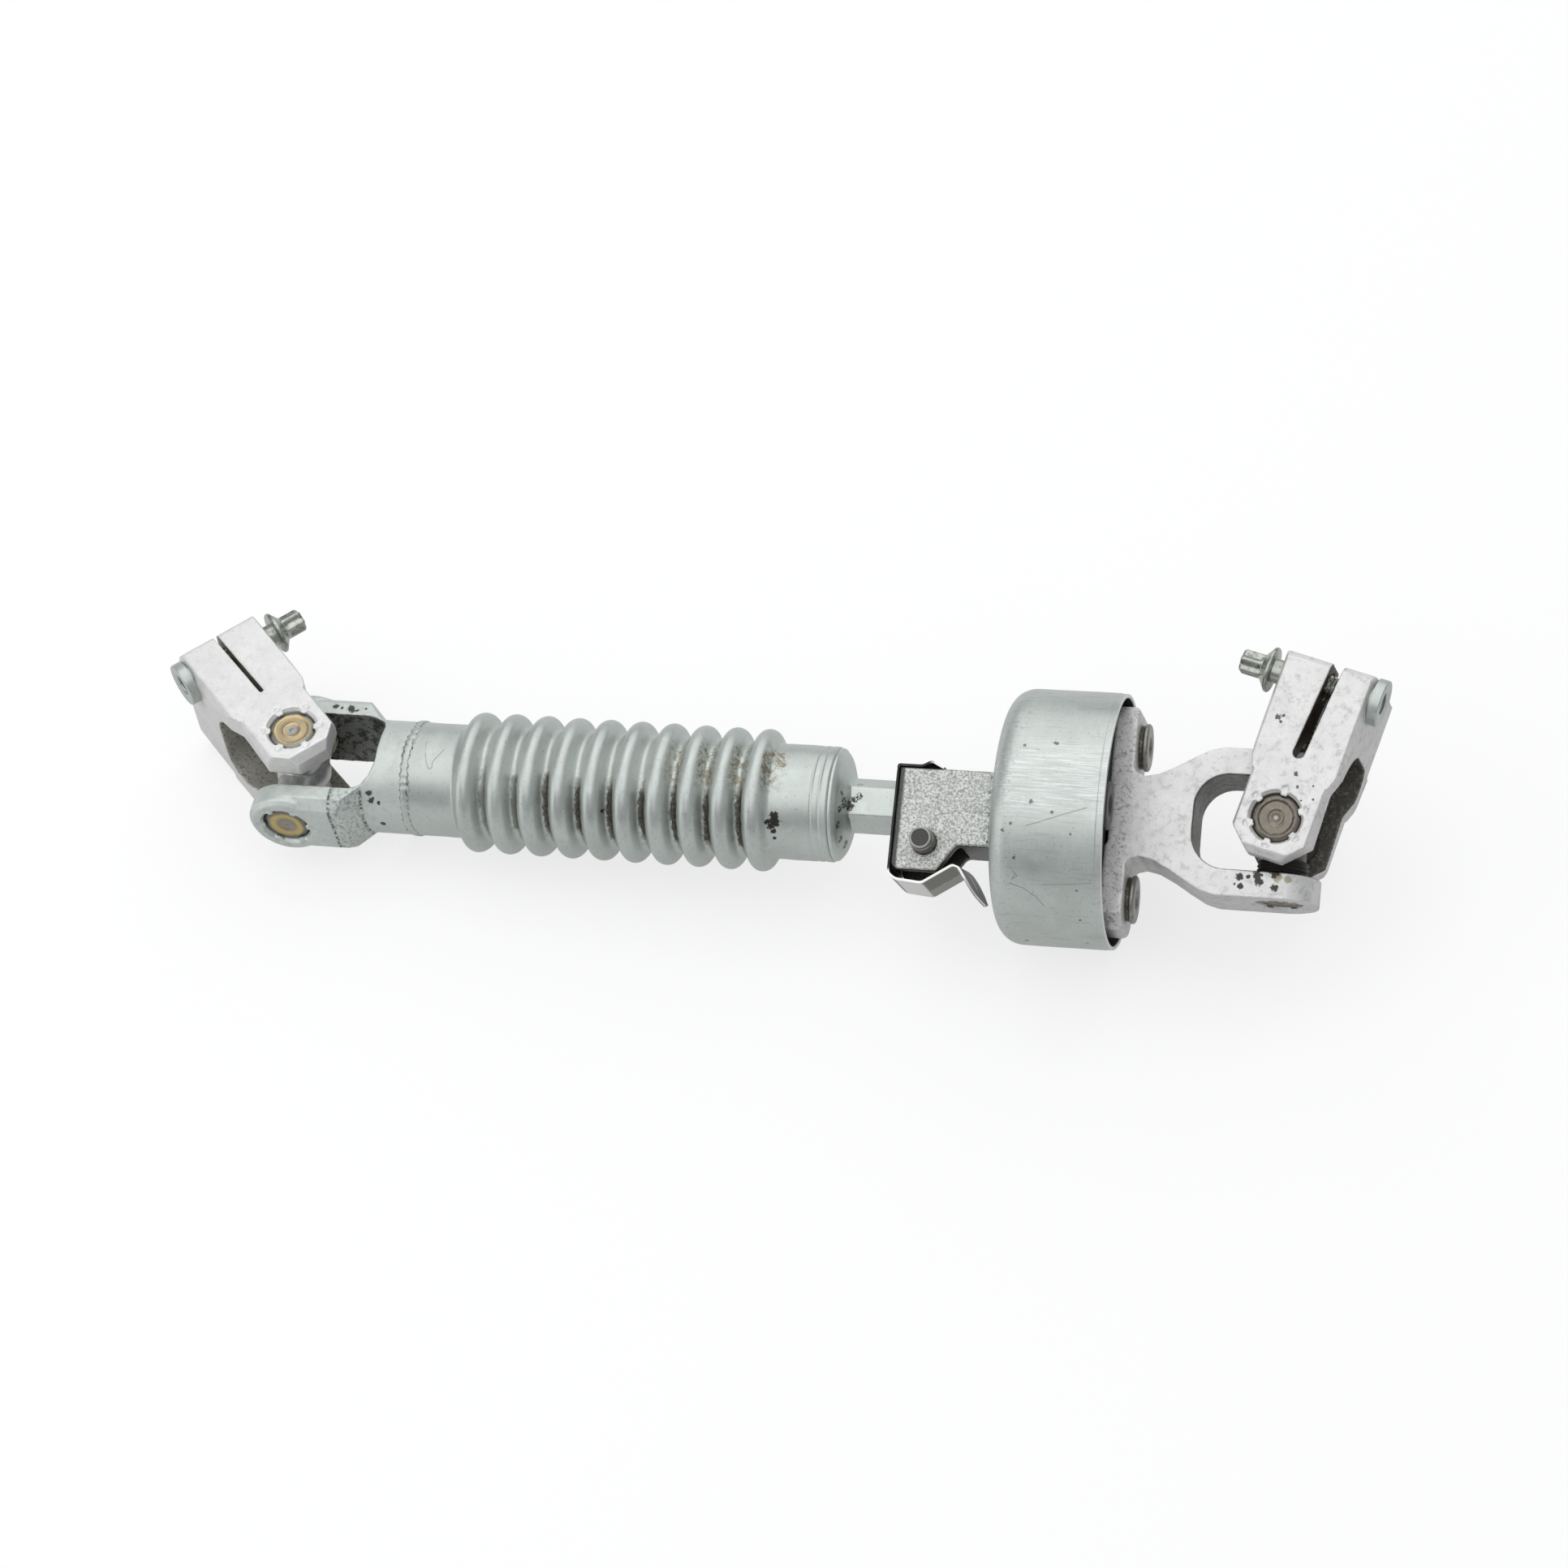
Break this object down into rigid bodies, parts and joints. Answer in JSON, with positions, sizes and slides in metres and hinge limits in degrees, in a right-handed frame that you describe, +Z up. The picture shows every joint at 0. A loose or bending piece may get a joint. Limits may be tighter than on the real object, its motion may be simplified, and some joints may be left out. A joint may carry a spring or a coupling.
{
  "type": "intermediate steering shaft",
  "caption": "Steering shaft with a corrugated tube, a rubber disc coupling in a steel cup and a universal joint with a split clamp yoke at each end.",
  "frame": {"origin": "centre of the bounding box at floor level, the shaft lying at rest", "axes": "+X along the shaft on the floor plan towards the rubber coupling, +Z up"},
  "size_m": [0.4114, 0.0992, 0.0909],
  "materials": {
    "zinc_forging": "zinc flake coat on forged steel, satin, mottled",
    "zinc_plate": "zinc plated steel, satin, faint green",
    "blasted_steel": "shot blasted forging, grainy",
    "cap_brass_tint": "passivated steel, gold tint",
    "bearing_steel": "ground bearing steel",
    "bolt_steel": "plated steel, worn",
    "dark_phosphate": "dark phosphate on steel",
    "spring_steel": "blackened spring steel",
    "black_rubber": "matt black rubber",
    "seal_rubber": "pale yellow seal"
  },
  "bodies": {
    "tube": {"corrugated_tube": "zinc_plate", "tube_yoke": "zinc_plate", "weld_bead": "zinc_plate", "slip_shaft": "zinc_plate", "clamp_jaw": "blasted_steel", "jaw_cross_bolt": "dark_phosphate", "spring_clip": "spring_steel", "coupling_cup": "zinc_plate", "coupling_plate": "zinc_plate", "plate_rivets": "dark_phosphate", "plate_sleeves": "bearing_steel", "rubber_disc": "black_rubber", "left_fork_caps": "cap_brass_tint", "left_fork_needles": "bearing_steel"},
    "left_cross": {"left_cross": "bearing_steel", "left_seals": "seal_rubber"},
    "left_clamp": {"left_clamp_yoke": "zinc_forging", "left_pinch_bolt": "bolt_steel", "left_clamp_nut": "bolt_steel", "left_clamp_caps": "cap_brass_tint", "left_clamp_needles": "bearing_steel"},
    "flange": {"flange_yoke": "zinc_forging", "flange_rivets": "bolt_steel", "flange_sleeves": "bearing_steel", "right_fork_caps": "cap_brass_tint", "right_fork_needles": "bearing_steel"},
    "right_cross": {"right_cross": "bearing_steel", "right_seals": "black_rubber"},
    "right_clamp": {"right_clamp_yoke": "zinc_forging", "right_pinch_bolt": "bolt_steel", "right_clamp_nut": "bolt_steel", "right_clamp_caps": "cap_brass_tint", "right_clamp_needles": "bearing_steel"}
  },
  "joints": [
    {"name": "left_fork_pivot", "type": "hinge", "parent": "tube", "child": "left_cross", "pos_m": [-0.15459, -0.0081, 0.02402], "axis": [0, 1, 0], "range_deg": [-20, 15]},
    {"name": "left_clamp_pivot", "type": "hinge", "parent": "left_cross", "child": "left_clamp", "pos_m": [-0.15459, -0.0081, 0.02402], "axis": [0, 0, 1], "range_deg": [-10, 90]},
    {"name": "coupling_twist", "type": "hinge", "parent": "tube", "child": "flange", "pos_m": [0.10987, -0.0081, 0.04247], "axis": [0.9976, 0, 0.0696], "range_deg": [-4, 4], "stiffness_Nm_per_rad": 60, "deforming": ["rubber_disc"]},
    {"name": "right_fork_pivot", "type": "hinge", "parent": "flange", "child": "right_cross", "pos_m": [0.1768, -0.0081, 0.04714], "axis": [-0.0296, 0.9048, 0.4247], "range_deg": [-10, 14]},
    {"name": "right_clamp_pivot", "type": "hinge", "parent": "right_cross", "child": "right_clamp", "pos_m": [0.1768, -0.0081, 0.04714], "axis": [-0.1144, -0.4252, 0.8978], "range_deg": [-120, 3]}
  ]
}
